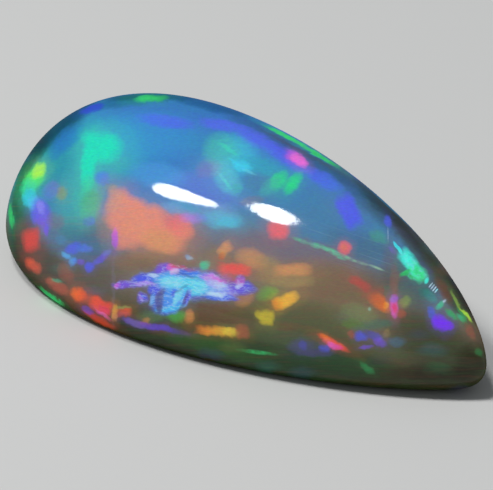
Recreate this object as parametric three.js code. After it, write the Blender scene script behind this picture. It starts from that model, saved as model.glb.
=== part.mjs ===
// A polished pear-shaped opal cabochon, cut from one piece of stone.
// It lies on its flat base. Above the base a rounded underside swells out to the girdle, the widest line,
// and from there one high dome closes over the stone. The round end is at -X and the tip at +X.
// Millimetres, +Z up, with the origin on the base under the middle of the stone.
import * as THREE from "three";

// Driving dimensions
const LENGTH = 18;
const WIDTH = 9;
const HEIGHT = 5.6;
const GIRDLE_HEIGHT = 1; // of the widest line above the base
const UNDERSIDE_INSET = 0.5; // from the girdle in to the edge of the flat base, at the widest place
const APEX_FROM_ROUND_END = 5.8; // of the dome's highest point

// The outline tapers from an ellipse, at 0, to a sharp point, at 1
const TAPER = 0.6;
const TIP_ROUNDING = 0.01;
const KEEL_SOFTENING = 0.2; // added to the tip's rounding at the apex, so that no crease runs up the dome

// Exponents of the dome's profile, where 2 and 2 would be an ellipse
const DOME_CROWN = 2.4; // over 2, the top is a little flattened
const DOME_FLANK = 1.7; // under 2, the sides lean in from the girdle

// Steps of the faceted solid
const SPOKES = 128;
const DOME_STEPS = 22;
const UNDERSIDE_STEPS = 5;

const APEX_X = APEX_FROM_ROUND_END - LENGTH / 2;
const QUARTER_TURN = Math.PI / 2;
const TOLERANCE = 1e-9;

// The profile from the middle of the base out to the girdle, which has a radius of 1, and up to the apex
function profile() {
  const points = [new THREE.Vector2(0, 0)];
  for (let step = 0; step <= UNDERSIDE_STEPS; step++) {
    const angle = (step / UNDERSIDE_STEPS) * QUARTER_TURN;
    const inset = UNDERSIDE_INSET * (1 - Math.sin(angle));
    const share = 1 - inset / (WIDTH / 2);
    points.push(new THREE.Vector2(share, GIRDLE_HEIGHT * (1 - Math.cos(angle))));
  }
  for (let step = 1; step < DOME_STEPS; step++) {
    const angle = (step / DOME_STEPS) * QUARTER_TURN;
    const share = Math.cos(angle) ** (2 / DOME_CROWN);
    const rise = Math.sin(angle) ** (2 / DOME_FLANK);
    points.push(new THREE.Vector2(share, GIRDLE_HEIGHT + (HEIGHT - GIRDLE_HEIGHT) * rise));
  }
  points.push(new THREE.Vector2(0, HEIGHT));
  return points;
}

// The pear's half-width before it is scaled, at a turn of 0 at the tip and pi at the round end
function pearWidth(turn, rounding) {
  return Math.sin(turn) * (Math.sin(turn / 2) ** 2 + rounding) ** (TAPER / 2);
}

// The turn at which pearWidth is greatest, where its slope is zero
function widestTurn(rounding) {
  const linear = 2 + 4 * rounding;
  const square = 2 + TAPER;
  return Math.acos((linear - Math.sqrt(linear ** 2 + 4 * TAPER * square)) / (2 * square));
}

// A point of the pear outline at the girdle, in plan
function pearOutline(turn, rounding) {
  const widest = pearWidth(widestTurn(rounding), rounding);
  return new THREE.Vector2(
    (LENGTH / 2) * Math.cos(turn),
    ((WIDTH / 2) * pearWidth(turn, rounding)) / widest,
  );
}

// The stone starts as a turned form of radius 1, whose rings are then drawn out to the pear about the apex
function cabochonGeometry() {
  const geometry = new THREE.LatheGeometry(profile(), SPOKES);
  geometry.rotateX(QUARTER_TURN);
  const position = geometry.getAttribute("position");
  for (let i = 0; i < position.count; i++) {
    const x = position.getX(i);
    const y = position.getY(i);
    const height = position.getZ(i);
    const share = Math.hypot(x, y);
    const turn = share > TOLERANCE ? Math.atan2(y, x) : 0;
    const onDome = height > GIRDLE_HEIGHT + TOLERANCE;
    const rounding = TIP_ROUNDING + (onDome ? KEEL_SOFTENING * (1 - share) : 0);
    const edge = pearOutline(turn, rounding);
    position.setXYZ(i, APEX_X + share * (edge.x - APEX_X), share * edge.y, height);
  }
  geometry.computeVertexNormals();
  return geometry;
}

const opal = new THREE.MeshStandardMaterial({ color: 0x5a86a8, roughness: 0.06, metalness: 0 });

const cabochon = new THREE.Mesh(cabochonGeometry(), opal);
cabochon.name = "opal_cabochon";

const stone = new THREE.Group();
stone.add(cabochon);

export default stone;
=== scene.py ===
"""A polished pear-shaped opal cabochon, its hazy body and its flashes of colour, on a pale floor."""

import math
from collections import namedtuple

import bpy
from mathutils import Matrix, Vector
from mathutils.bvhtree import BVHTree


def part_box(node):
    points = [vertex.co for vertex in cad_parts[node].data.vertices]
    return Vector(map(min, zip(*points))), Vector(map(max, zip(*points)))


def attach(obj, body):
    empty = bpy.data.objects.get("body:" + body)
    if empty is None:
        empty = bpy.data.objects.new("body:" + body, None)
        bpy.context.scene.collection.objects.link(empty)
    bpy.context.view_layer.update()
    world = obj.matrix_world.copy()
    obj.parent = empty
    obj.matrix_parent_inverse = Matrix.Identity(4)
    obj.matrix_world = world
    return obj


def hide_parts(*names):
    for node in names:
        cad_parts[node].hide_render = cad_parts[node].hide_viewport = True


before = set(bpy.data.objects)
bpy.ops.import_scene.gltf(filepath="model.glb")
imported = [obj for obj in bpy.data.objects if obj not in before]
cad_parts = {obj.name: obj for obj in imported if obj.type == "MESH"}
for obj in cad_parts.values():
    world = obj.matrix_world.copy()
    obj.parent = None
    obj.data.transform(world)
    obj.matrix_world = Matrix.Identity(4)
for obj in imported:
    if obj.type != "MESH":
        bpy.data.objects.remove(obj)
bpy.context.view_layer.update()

MM = 0.001
PHOTO_SIZE = (493, 490)

# The camera: where it stands round the stone, in degrees, and what it looks at, in millimetres
AZIMUTH = 38.9
ELEVATION = 27.0
ROLL = 1.26
DISTANCE = 144.0
AIM = (-0.389, 0.225, 1.874)
PIXELS_PER_MM = 32.44

# The cabochon's form as it was cut, in millimetres
stone_low, stone_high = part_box("opal_cabochon")
LENGTH, WIDTH, HEIGHT = (side / MM for side in stone_high - stone_low)
GIRDLE_HEIGHT = 1.0
UNDERSIDE_INSET = 0.5
APEX_FROM_ROUND_END = 5.8
POLISH_WAVE = 0.004
WAVES_PER_MM = 0.45

# Its sizes in metres, the powers of its curves, and the shares of the rings that its base and underside take
SIZES = {
    "Length": LENGTH * MM,
    "Width": WIDTH * MM,
    "Height": HEIGHT * MM,
    "Girdle Height": GIRDLE_HEIGHT * MM,
    "Underside Inset": UNDERSIDE_INSET * MM,
    "Apex From Round End": APEX_FROM_ROUND_END * MM,
    "Taper": 0.6,
    "Tip Rounding": 0.01,
    "Keel Softening": 0.2,
    "Dome Crown": 2.4,
    "Dome Flank": 1.7,
    "Polish Wave": POLISH_WAVE * MM,
    "Base Part": 0.06,
    "Underside Part": 0.16,
}
COUNTS = {"Spokes": 320, "Rings": 240, "Seed": 7}


def photo_camera():
    """The camera at the photograph's viewing angle, and its matrix in millimetres."""
    around, above = math.radians(AZIMUTH), math.radians(ELEVATION)
    towards = Vector(
        (
            math.sin(around) * math.cos(above),
            -math.cos(around) * math.cos(above),
            math.sin(above),
        )
    )
    level = Matrix.Rotation(math.radians(ROLL), 4, "Z")
    turned = towards.to_track_quat("Z", "Y").to_matrix().to_4x4() @ level
    place = Vector(AIM) + DISTANCE * towards
    data = bpy.data.cameras.new("photo_camera")
    data.lens = data.sensor_width * PIXELS_PER_MM * DISTANCE / PHOTO_SIZE[0]
    data.clip_start = 10 * MM
    data.clip_end = 10
    camera = bpy.data.objects.new("photo_camera", data)
    camera.matrix_world = Matrix.Translation(place * MM) @ turned
    bpy.context.scene.collection.objects.link(camera)
    bpy.context.scene.camera = camera
    return Matrix.Translation(place) @ turned


class Tree:
    """A node tree that is written as sums: every method adds a node and returns its output."""

    def __init__(self, tree):
        self.tree = tree

    def node(self, kind, inputs=(), **settings):
        """A new node with its settings and its inputs, each by name or number."""
        made = self.tree.nodes.new(kind)
        for name, value in settings.items():
            setattr(made, name, value)
        for name, value in dict(inputs).items():
            self.feed(made.inputs[name], value)
        return made

    def feed(self, socket, value):
        """Links an output to the socket, or sets the socket's own value."""
        if isinstance(value, bpy.types.NodeSocket):
            self.tree.links.new(value, socket)
        else:
            socket.default_value = value

    def maths(self, operation, *operands):
        inputs = dict(enumerate(operands))
        return self.node("ShaderNodeMath", inputs, operation=operation).outputs[0]

    def add(self, a, b):
        return self.maths("ADD", a, b)

    def subtract(self, a, b):
        return self.maths("SUBTRACT", a, b)

    def multiply(self, a, b):
        return self.maths("MULTIPLY", a, b)

    def divide(self, a, b):
        return self.maths("DIVIDE", a, b)

    def power(self, a, b):
        return self.maths("POWER", a, b)

    def mix(self, share, first, second):
        """A colour between two."""
        inputs = {0: share, 6: first, 7: second}
        return self.node("ShaderNodeMix", inputs, data_type="RGBA").outputs[2]

    def vector(self, operation, *operands):
        inputs = dict(enumerate(operands))
        return self.node("ShaderNodeVectorMath", inputs, operation=operation).outputs[0]

    def scale(self, vector, factor):
        inputs = {0: vector, "Scale": factor}
        return self.node("ShaderNodeVectorMath", inputs, operation="SCALE").outputs[0]

    def dot(self, a, b):
        inputs = {0: a, 1: b}
        return self.node("ShaderNodeVectorMath", inputs, operation="DOT_PRODUCT").outputs["Value"]

    def spread(self, value, low, high, to_low=0.0, to_high=1.0, smooth=False, held=True):
        """The value carried from one range to another, and held to it unless told otherwise."""
        inputs = {"Value": value, "From Min": low, "From Max": high, "To Min": to_low, "To Max": to_high}
        kind = "SMOOTHSTEP" if smooth else "LINEAR"
        return self.node(
            "ShaderNodeMapRange", inputs, interpolation_type=kind, clamp=held and not smooth
        ).outputs[0]

    def noise(self, place, scale, detail=2.0, roughness=0.5):
        inputs = {"Vector": place, "Scale": scale, "Detail": detail, "Roughness": roughness}
        return self.node("ShaderNodeTexNoise", inputs).outputs

    def ramp(self, value, stops):
        """A colour ramp over the value, with a hue at each of its stops."""
        made = self.node("ShaderNodeValToRGB", {0: value})
        elements = made.color_ramp.elements
        while len(elements) < len(stops):
            elements.new(1.0)
        for element, (position, colour) in zip(elements, stops):
            element.position = position
            element.color = colour
        return made.outputs[0]


def set_values(node, values):
    """Sets the values of a node's own sockets."""
    for name, value in values.items():
        node.inputs[name].default_value = value


def add_inputs(tree, sockets):
    """Named inputs of a node group, each with its type and default."""
    for name, (kind, value) in sockets.items():
        socket = tree.interface.new_socket(name, in_out="INPUT", socket_type=kind)
        if value is not None:
            socket.default_value = value


def cabochon_tree():
    """The rule of the cabochon: a pear-shaped girdle, drawn in to an apex above and to a flat base below."""
    tree = bpy.data.node_groups.new("pear cabochon", "GeometryNodeTree")
    add_inputs(tree, {name: ("NodeSocketFloat", size) for name, size in SIZES.items()})
    add_inputs(tree, {name: ("NodeSocketInt", count) for name, count in COUNTS.items()})
    add_inputs(tree, {"Material": ("NodeSocketMaterial", None)})
    tree.interface.new_socket("Geometry", in_out="OUTPUT", socket_type="NodeSocketGeometry")
    t = Tree(tree)
    size = tree.nodes.new("NodeGroupInput").outputs

    ball = t.node("GeometryNodeMeshUVSphere", {"Segments": size["Spokes"], "Rings": size["Rings"]})
    place = t.node("GeometryNodeInputPosition").outputs[0]
    x, y, z = t.node("ShaderNodeSeparateXYZ", {0: place}).outputs
    turn = t.maths("ARCTAN2", y, x)
    level = t.maths("SQRT", t.add(t.multiply(x, x), t.multiply(y, y)))
    climb = t.add(t.divide(t.maths("ARCTAN2", z, level), math.pi), 0.5)

    # The climb from the base's middle to the apex is shared out over the base, the underside and the dome
    def quarter_turn_over(start, extent):
        part = t.divide(t.subtract(climb, start), extent)
        return t.multiply(t.maths("MAXIMUM", t.maths("MINIMUM", part, 1.0), 0.0), math.pi / 2)

    on_base = t.maths("MINIMUM", t.divide(climb, size["Base Part"]), 1.0)
    under = quarter_turn_over(size["Base Part"], size["Underside Part"])
    dome_start = t.add(size["Base Part"], size["Underside Part"])
    over = quarter_turn_over(dome_start, t.subtract(1.0, dome_start))

    # How far each ring reaches out towards the girdle, and how high it lies
    inset_share = t.divide(size["Underside Inset"], t.multiply(size["Width"], 0.5))
    below = t.subtract(1.0, t.multiply(inset_share, t.subtract(1.0, t.maths("SINE", under))))
    cosine = t.maths("MAXIMUM", t.maths("COSINE", over), 0.0)
    above = t.power(cosine, t.divide(2.0, size["Dome Crown"]))
    reach = t.multiply(t.multiply(on_base, below), above)
    rise = t.power(t.maths("SINE", over), t.divide(2.0, size["Dome Flank"]))
    dome_height = t.subtract(size["Height"], size["Girdle Height"])
    low_part = t.multiply(size["Girdle Height"], t.subtract(1.0, t.maths("COSINE", under)))
    height = t.add(low_part, t.multiply(dome_height, rise))

    # The pear outline, less sharp at the tip the higher the ring
    softened = t.multiply(size["Keel Softening"], t.subtract(1.0, above))
    rounding = t.add(size["Tip Rounding"], softened)

    def pear_width(angle):
        half = t.maths("SINE", t.multiply(angle, 0.5))
        tip = t.power(t.add(t.multiply(half, half), rounding), t.multiply(size["Taper"], 0.5))
        return t.multiply(t.maths("SINE", angle), tip)

    linear = t.add(2.0, t.multiply(rounding, 4.0))
    square = t.add(2.0, size["Taper"])
    inside = t.add(t.multiply(linear, linear), t.multiply(t.multiply(size["Taper"], 4.0), square))
    cosine_widest = t.divide(t.subtract(linear, t.maths("SQRT", inside)), t.multiply(square, 2.0))
    widest = pear_width(t.maths("ARCCOSINE", cosine_widest))
    half_width = t.divide(t.multiply(pear_width(turn), t.multiply(size["Width"], 0.5)), widest)
    half_length = t.multiply(size["Length"], 0.5)
    apex = t.subtract(size["Apex From Round End"], half_length)
    edge_x = t.multiply(t.maths("COSINE", turn), half_length)
    new_x = t.add(apex, t.multiply(reach, t.subtract(edge_x, apex)))
    new_y = t.multiply(reach, half_width)
    new_place = t.node("ShaderNodeCombineXYZ", {0: new_x, 1: new_y, 2: height}).outputs[0]
    drawn = t.node(
        "GeometryNodeSetPosition", {"Geometry": ball.outputs["Mesh"], "Position": new_place}
    ).outputs[0]

    # Polishing by hand leaves the dome very slightly uneven
    wave = t.node(
        "ShaderNodeTexNoise",
        {"Scale": WAVES_PER_MM / MM, "Detail": 1.0, "W": t.multiply(size["Seed"], 1.0)},
        noise_dimensions="4D",
    ).outputs[0]
    lift = t.multiply(t.multiply(t.subtract(wave, 0.5), size["Polish Wave"]), rise)
    normal = t.node("GeometryNodeInputNormal").outputs[0]
    offset = t.node("ShaderNodeVectorMath", {0: normal, "Scale": lift}, operation="SCALE")
    polished = t.node(
        "GeometryNodeSetPosition", {"Geometry": drawn, "Offset": offset.outputs[0]}
    ).outputs[0]
    smooth = t.node("GeometryNodeSetShadeSmooth", {"Geometry": polished}).outputs[0]
    real = t.node("GeometryNodeRealizeInstances", {"Geometry": smooth}).outputs[0]
    finished = t.node(
        "GeometryNodeSetMaterial", {"Geometry": real, "Material": size["Material"]}
    ).outputs[0]
    t.node("NodeGroupOutput", {"Geometry": finished})
    return tree


def grown_mesh(name, tree, values):
    """An object whose plain mesh is what the tree makes of these inputs."""
    piece = bpy.data.objects.new(name, bpy.data.meshes.new(name))
    bpy.context.scene.collection.objects.link(piece)
    modifier = piece.modifiers.new("form", "NODES")
    modifier.node_group = tree
    sockets = {
        item.name: item.identifier
        for item in tree.interface.items_tree
        if item.item_type == "SOCKET" and item.in_out == "INPUT"
    }
    for label, value in values.items():
        modifier[sockets[label]] = value
    graph = bpy.context.evaluated_depsgraph_get()
    mesh = bpy.data.meshes.new_from_object(piece.evaluated_get(graph), depsgraph=graph)
    piece.modifiers.remove(modifier)
    piece.data = mesh
    mesh.name = name
    return piece


def hue(code):
    """A colour given as six hexadecimal digits, in the linear values that nodes hold."""
    shares = [int(code[i : i + 2], 16) / 255 for i in (0, 2, 4)]
    return tuple(s / 12.92 if s < 0.04045 else ((s + 0.055) / 1.055) ** 2.4 for s in shares) + (1.0,)


# The hues of the play of colour
LEMON = hue("bcf450")
LIME = hue("50f066")
LIME_SHADE = hue("38dc94")
LEAF = hue("88b052")
SPRING_GREEN = hue("3cd878")
COLUMN_GREEN = hue("48a47c")
FERN = hue("35b065")
MOSS = hue("5a8a40")
TURQUOISE = hue("22e0bc")
SEA_GREEN = hue("4cc49a")
DASH_GREEN = hue("5cb894")
AQUA = hue("4bf3e1")
WING_GREEN = hue("30d28e")
MINT = hue("44ecba")
MINT_GREEN = hue("4af0a8")
AQUA_ICE = hue("80e0f0")
CYAN = hue("45d2f2")
SKY = hue("5cb4f6")
AZURE = hue("3a98d0")
TEAL = hue("38a2bc")
STREAM = hue("62b6d4")
LAGOON = hue("2c98a6")
LAGOON_ICE = hue("2ccdd4")
POOL_ICE = hue("60c8d6")
SEA_HAZE = hue("48b0b4")
DEEP_TEAL = hue("30786f")
COBALT = hue("2874c0")
BLUE = hue("4878ea")
INDIGO = hue("5560ec")
RIM_INDIGO = hue("344cc8")
PERIWINKLE = hue("667edc")
VIOLET = hue("7a56e0")
DEEP_VIOLET = hue("6446c4")
PURPLE = hue("7c3cfe")
LAVENDER = hue("aa8cec")
LAVENDER_BLUE = hue("8a86f4")
ORCHID = hue("ee70dc")
PINK_ICE = hue("e6c2fa")
MAGENTA = hue("e25096")
CRIMSON = hue("e63c6a")
ROSE = hue("ec6a74")
RED = hue("dc4a44")
BRIGHT_RED = hue("ec5c52")
FLAME = hue("f0583a")
DEEP_FLAME = hue("c44022")
ORANGE = hue("ee7c36")
BRIGHT_ORANGE = hue("f4742e")
AMBER = hue("c8884c")
BRIGHT_AMBER = hue("d09464")
TAN = hue("c49c88")
GOLDEN = hue("d8986c")
GRASS = hue("4c9c2c")
GOLD = hue("e6aa44")
BRIGHT_GOLD = hue("f2b84a")
YELLOW = hue("c6b440")
BRIGHT_YELLOW = hue("e2c848")
KHAKI = hue("a08a60")
OLIVE = hue("969a56")
SALMON = hue("ea9078")
BRICK = hue("b05a48")
ROSE_BRICK = hue("b8504c")
RUST = hue("7a4834")
ICE = hue("c4e4f8")

# The hues of the hazy body, and of the painted shade along its rim and under its foot
BROWN = hue("88705a")
MAUVE = hue("7c7484")
SHADED_RIM_BLUE = hue("1c5080")
DEEP_SHADED_RIM_BLUE = hue("10364e")
DEEP_SHADED_RIM_TEAL = hue("103a46")
SHADED_RIM_BROWN = hue("302c26")
SHADED_RIM_SMOKE = hue("2c3c3c")
SHADED_RIM_TEAL = hue("206c84")
SHADED_RIM_GREEN = hue("28684e")
SHADED_RIM_SLATE = hue("345264")
SHADED_RIM_DARK = hue("2c4034")
SHADED_RIM_GREY = hue("44463e")
GREY_GREEN = hue("546660")
DUSKY_ROSE = hue("7a5a5c")
TIP_GREY = hue("49533c")
LILAC = hue("9678b8")
WARM_GREY = hue("625c56")
WET_SLATE = hue("50787e")
PLUM = hue("60406a")
DUSK = hue("4c4878")
STEEL = hue("4c7696")
GREY_BLUE = hue("54789c")
SLATE = hue("4884b0")
SAGE = hue("62684c")
MOSS_GREY = hue("566a48")
HIGHLIGHT_SHEEN_BLUE = hue("82aade")
PALE_SLATE = hue("6e8ea6")
SAGE_LIGHT = hue("788a5c")
PALE_SAGE = hue("90b8a0")
FOREST = hue("2e5634")
SMOKE = hue("4e4e46")
SHADED_TIP_PEAT = hue("34351f")
SHADED_FOOT_PEAT = hue("241f0e")

# Sizes in the stone, in millimetres, and shares
FLASH_DEPTH = 5.0
HAZE_DEPTH = 9.0
HAZE_GLOW = 0.1
HALO = 0.1  # the share of a flash's colour that spreads about it
HALO_REACH = 3.0
CRISP = 0.35  # a patch that fades less than this keeps its edges
EDGE_FADE = 0.28  # the least distance over which the two edges of a patch fade

Flash = namedtuple("Flash", "name form at length width slant start end softness strength glow")


def flash(name, at, length, width, slant, hues, strength=1, softness=1, form="round", glow=1.0):
    """A round patch of colour, of one hue or of the two hues of its ends."""
    start, end = hues if isinstance(hues[0], tuple) else (hues, hues)
    return Flash(name, form, at, length, width, slant, start, end, softness, strength, glow)


def tile(name, at, length, width, slant, hues, strength=1, softness=1):
    """A flash with straight sides and rounded corners."""
    return flash(name, at, length, width, slant, hues, strength, softness, form="block")


def haze(name, at, length, width, slant, colour, strength):
    """A wide soft patch that glows no more than the body."""
    return flash(name, at, length, width, slant, colour, strength, glow=HAZE_GLOW)


# The wide soft zones of the body. Each has its middle in the photograph's pixels, its length and width in
# millimetres, the slant of its length in degrees, its hue and how strong it is.
BODY_PATCHES = [
    haze("teal shoulder", (105, 150), 2.47, 2.22, 0, TEAL, 0.75),
    haze("teal end", (42, 165), 3.7, 2.71, 60, LAGOON, 0.9),
    haze("deep teal rim", (22, 212), 2.47, 0.99, 85, DEEP_TEAL, 0.9),
    # The teal crown and the night crown are painted shade along the top rim
    haze("teal crown", (122, 101), 2.59, 0.43, 6, SHADED_RIM_TEAL, 0.7),
    haze("night crown", (150, 97), 2.71, 0.28, 0, DEEP_SHADED_RIM_TEAL, 0.6),
    haze("dark under the lemon", (26, 245), 2.1, 0.74, 82, SMOKE, 0.8),
    # Painted shade along the top rim
    haze("blue crown", (210, 105), 2.47, 0.37, -14, SHADED_RIM_BLUE, 0.6),
    haze("teal about the patch", (106, 150), 1.97, 1.48, 0, SEA_HAZE, 0.8),
    haze("column halo", (88, 190), 1.97, 0.86, 86, SEA_HAZE, 0.8),
    haze("grey under the column", (82, 230), 2.59, 0.92, 0, WET_SLATE, 0.75),
    haze("grey left", (82, 274), 2.84, 1.48, -20, WARM_GREY, 0.85),
    # Painted shade: the shoulder, the side and the round end's rim are darkened where the edge turns away
    # from the light
    haze("shaded shoulder", (285, 147), 3.82, 0.55, -31, SHADED_RIM_SLATE, 0.65),
    haze("shaded side", (366, 198), 2.96, 0.68, -44, SHADED_RIM_SLATE, 0.65),
    haze("blue end rim", (59, 125), 2.59, 0.86, 42, DEEP_SHADED_RIM_BLUE, 0.85),
    haze("teal end rim", (33.5, 153), 1.66, 0.62, 58, DEEP_SHADED_RIM_TEAL, 0.85),
    haze("dark end", (20, 198), 2.34, 0.55, 82, SHADED_RIM_GREEN, 0.95),
    haze("dark end low", (23, 258), 1.85, 0.49, -66, SHADED_RIM_DARK, 0.7),
    haze("grey low end", (42, 262), 2.22, 1.05, -52, SHADED_RIM_GREY, 0.7),
    haze("blue mist on it", (80, 249), 1.6, 0.62, 0, GREY_BLUE, 0.5),
    haze("teal below it", (78, 200), 2.22, 1.36, 80, SEA_HAZE, 0.8),
    haze("blue by the rim", (65, 141.5), 1.23, 0.55, 46, COBALT, 0.75),
    haze("grey teal", (84, 245), 2.34, 1.11, -10, STEEL, 0.5),
    haze("sky above", (150, 137), 2.84, 1.48, 0, AZURE, 0.7),
    haze("periwinkle", (208, 190), 2.34, 0.92, -12, PERIWINKLE, 0.7),
    # Painted highlight: a bloom of light above the left lamp's reflection
    haze("sky above the light", (158, 175), 1.66, 0.68, -8, SKY, 0.35),
    haze("mist between the lights", (262, 190), 1.6, 0.86, 0, SLATE, 0.5),
    # Painted sheen about the lamps' reflections
    haze("sheen by the lights", (212, 211), 1.36, 0.55, -8, HIGHLIGHT_SHEEN_BLUE, 0.5),
    haze("slate under the mist", (228, 235), 1.23, 0.55, -4, PALE_SLATE, 0.65),
    haze("slate by the rim", (330, 215), 2.77, 1.73, -25, SLATE, 0.7),
    haze("mauve band", (285, 249), 4.32, 0.74, -9, MAUVE, 0.9),
    haze("slate strip", (362, 246), 1.97, 0.8, -20, STEEL, 0.8),
    haze("brown right", (342, 285), 3.45, 1.23, -12, BROWN, 0.9),
    haze("brown by the drop", (414, 322), 0.92, 0.68, -30, BROWN, 0.4),
    haze("brown left", (150, 264), 2.47, 0.49, -5, BROWN, 0.6),
    haze("brown under the ribbon", (218, 313), 2.1, 0.62, -3, RUST, 0.45),
    haze("moss grey", (302, 320), 3.7, 1.11, -8, SAGE, 0.8),
    haze("moss foot", (286, 340), 2.1, 0.49, -10, MOSS_GREY, 0.6),
    haze("moss foot right", (384, 351), 1.11, 0.49, -12, MOSS_GREY, 0.5),
    haze("forest foot", (255, 354), 5.55, 0.8, -12, FOREST, 0.7),
    haze("forest foot right", (345, 362), 2.59, 0.62, -8, FOREST, 0.8),
    haze("grass foot", (212, 346), 3.08, 0.49, -14, GRASS, 0.2),
    haze("grey tip", (436, 346), 3.33, 1.6, -32, TIP_GREY, 0.9),
    # Painted shade: the peat tip and peat foot darken the underside at the tip and along the foot
    haze("peat tip", (472, 366), 1.23, 0.99, 70, SHADED_TIP_PEAT, 0.8),
    haze("peat foot", (438, 374), 2.34, 0.55, -2, SHADED_FOOT_PEAT, 0.6),
    # Painted shade along the rim towards the tip
    haze("shaded rim", (418, 250), 4.07, 0.49, -56, SMOKE, 0.75),
    haze("brown rim high", (421, 246), 2.47, 0.52, -52, SHADED_RIM_BROWN, 0.55),
    haze("slate rim top", (383, 204), 1.97, 0.46, -44, SHADED_RIM_SMOKE, 0.6),
    haze("brown rim low", (461, 296), 1.85, 0.37, -58, SHADED_RIM_BROWN, 0.85),
    haze("brown left of the rim", (393, 268), 0.62, 1.85, 0, DUSKY_ROSE, 0.35),
    # Painted shade along the rim by the tip
    haze("brown rim", (448, 288), 2.71, 0.43, -60, TIP_GREY, 0.8),
    haze("grey behind the turquoise", (410, 285), 1.6, 1.05, -30, GREY_GREEN, 0.7),
    haze("grey brown by the post", (380, 282), 1.11, 0.86, -20, WARM_GREY, 0.4),
]

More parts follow.
